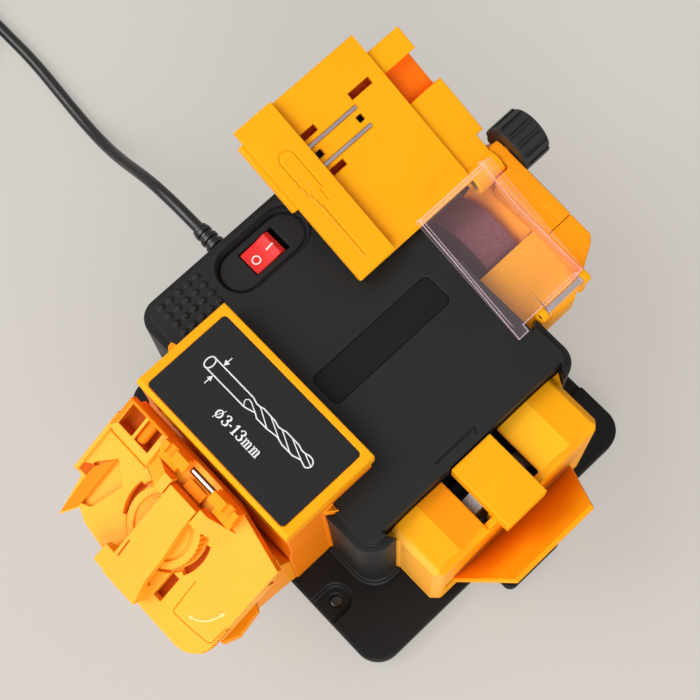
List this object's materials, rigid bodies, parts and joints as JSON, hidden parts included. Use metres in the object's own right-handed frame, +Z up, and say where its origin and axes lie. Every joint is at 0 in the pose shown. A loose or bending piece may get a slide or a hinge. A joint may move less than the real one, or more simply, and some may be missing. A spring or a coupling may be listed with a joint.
{
  "type": "drill bit sharpener",
  "caption": "Bench sharpener with a motor body and three lift-off stations: sloped drill holder in front, slotted knife guide at the side, tilting chisel tray behind.",
  "frame": {"origin": "centre of the four bench-screw holes, at table level under the rubber feet", "axes": "+X to the knife station, -Y to the drill station, +Y to the chisel station, +Z up"},
  "size_m": [0.523, 0.2691, 0.1338],
  "materials": {
    "black_plastic": "fine grained, matte",
    "orange_plastic": "satin moulded plastic",
    "rubber": "matte",
    "steel": "bright",
    "switch_black": "satin",
    "rocker_red": "glossy",
    "zinc_steel": "zinc plated",
    "ferrite": "matte",
    "dark_plastic": "satin",
    "bronze": "sintered",
    "copper_winding": "varnished",
    "gear_plastic": "satin",
    "fan_plastic": "satin",
    "diamond_grit": "coated with grit",
    "abrasive_stone": "rough abrasive",
    "label_black": "printed",
    "clear_plastic": "clear, slightly pink",
    "cord_black": "satin",
    "tie_black": "satin",
    "pin_brass": "plated"
  },
  "bodies": {
    "machine": {"base_plate": "black_plastic", "rubber_feet": "rubber", "body_housing": "black_plastic", "top_cover": "black_plastic", "case_screws": "steel", "switch_body": "switch_black", "motor_can": "zinc_steel", "motor_magnets": "ferrite", "motor_cap": "dark_plastic", "motor_cradle": "black_plastic", "shaft_bushes": "bronze", "bearing_bracket": "black_plastic", "strain_relief": "cord_black", "cord_free": "cord_black", "cord_coil": "cord_black", "cord_tie": "tie_black", "plug_body": "cord_black", "plug_pins": "pin_brass"},
    "rocker": {"switch_rocker": "rocker_red"},
    "motor_spindle": {"motor_shaft": "steel", "rotor_core": "copper_winding", "motor_gear": "gear_plastic", "cooling_fan": "fan_plastic"},
    "cross_spindle": {"cross_shaft": "steel", "cross_gear": "gear_plastic", "drill_wheel": "diamond_grit", "chisel_wheel": "abrasive_stone", "wheel_nuts": "steel"},
    "knife_spindle": {"knife_shaft": "steel", "knife_gear": "gear_plastic", "knife_wheel": "diamond_grit", "knife_nut": "steel"},
    "knife_station": {"knife_housing": "orange_plastic", "knife_guide": "orange_plastic", "spark_shield": "orange_plastic"},
    "drill_station": {"drill_tower": "orange_plastic", "label_plate": "orange_plastic", "label_face": "label_black", "swivel_bracket": "orange_plastic"},
    "holder": {"drill_holder": "orange_plastic", "clamp_bar": "orange_plastic", "drill_stop": "steel", "bar_screws": "steel"},
    "dial": {"clamp_dial": "orange_plastic"},
    "left_jaw": {"jaw_left": "orange_plastic"},
    "right_jaw": {"jaw_right": "orange_plastic"},
    "chisel_station": {"chisel_housing": "orange_plastic", "hinge_pin": "steel"},
    "cover": {"clear_cover": "clear_plastic"},
    "tray": {"tool_tray": "orange_plastic", "guide_rails": "steel", "pivot_bolt": "steel"},
    "fence": {"tool_fence": "orange_plastic"},
    "knob": {"tilt_knob": "black_plastic"}
  },
  "joints": [
    {"name": "rocker_press", "type": "hinge", "parent": "machine", "child": "rocker", "pos_m": [-0.0709, 0.0036, 0.0845], "axis": [-1, 0, 0], "range_deg": [0, 20]},
    {"name": "cross_spin", "type": "hinge", "parent": "machine", "child": "cross_spindle", "pos_m": [-0.0136, 0.0048, 0.056], "axis": [0, 1, 0], "continuous": true},
    {"name": "motor_spin", "type": "hinge", "parent": "machine", "child": "motor_spindle", "pos_m": [-0.0136, 0.0048, 0.056], "axis": [1, 0, 0], "continuous": true},
    {"name": "knife_spin", "type": "hinge", "parent": "machine", "child": "knife_spindle", "pos_m": [-0.0136, 0.0048, 0.056], "axis": [1, 0, 0], "continuous": true},
    {"name": "knife_station_lift", "type": "slide", "parent": "machine", "child": "knife_station", "axis": [0, 0, 1], "range_m": [0, 0.085]},
    {"name": "drill_station_lift", "type": "slide", "parent": "machine", "child": "drill_station", "axis": [0, 0, 1], "range_m": [0, 0.085]},
    {"name": "holder_swing", "type": "hinge", "parent": "drill_station", "child": "holder", "pos_m": [-0.0106, -0.09234, 0.0925], "axis": [0, -0.5, 0.866], "range_deg": [0, 9]},
    {"name": "dial_turn", "type": "hinge", "parent": "holder", "child": "dial", "pos_m": [-0.0106, -0.10793, 0.0835], "axis": [0, -0.5, 0.866], "range_deg": [0, 137.5]},
    {"name": "left_jaw_slide", "type": "slide", "parent": "holder", "child": "left_jaw", "axis": [1, 0, 0], "range_m": [0, 0.006]},
    {"name": "right_jaw_slide", "type": "slide", "parent": "holder", "child": "right_jaw", "axis": [-1, 0, 0], "range_m": [0, 0.006]},
    {"name": "chisel_station_lift", "type": "slide", "parent": "machine", "child": "chisel_station", "axis": [0, 0, 1], "range_m": [0, 0.085]},
    {"name": "cover_open", "type": "hinge", "parent": "chisel_station", "child": "cover", "pos_m": [0.035, 0.082, 0.0945], "axis": [0, 1, 0], "range_deg": [0, 54]},
    {"name": "tray_tilt", "type": "hinge", "parent": "chisel_station", "child": "tray", "pos_m": [-0.03, 0.1, 0.093], "axis": [0, 1, 0], "range_deg": [-16, 16]},
    {"name": "fence_slide", "type": "slide", "parent": "tray", "child": "fence", "axis": [0, 1, 0], "range_m": [0, 0.022]},
    {"name": "knob_turn", "type": "hinge", "parent": "tray", "child": "knob", "pos_m": [-0.03, 0.12, 0.093], "axis": [0, 1, 0], "range_deg": [0, 270]}
  ],
  "couplings": [
    {"joint": "motor_spin", "follows": "cross_spin", "ratio": -1},
    {"joint": "knife_spin", "follows": "cross_spin", "ratio": 1},
    {"joint": "left_jaw_slide", "follows": "dial_turn", "m_per_rad": 0.0025},
    {"joint": "right_jaw_slide", "follows": "dial_turn", "m_per_rad": 0.0025}
  ]
}
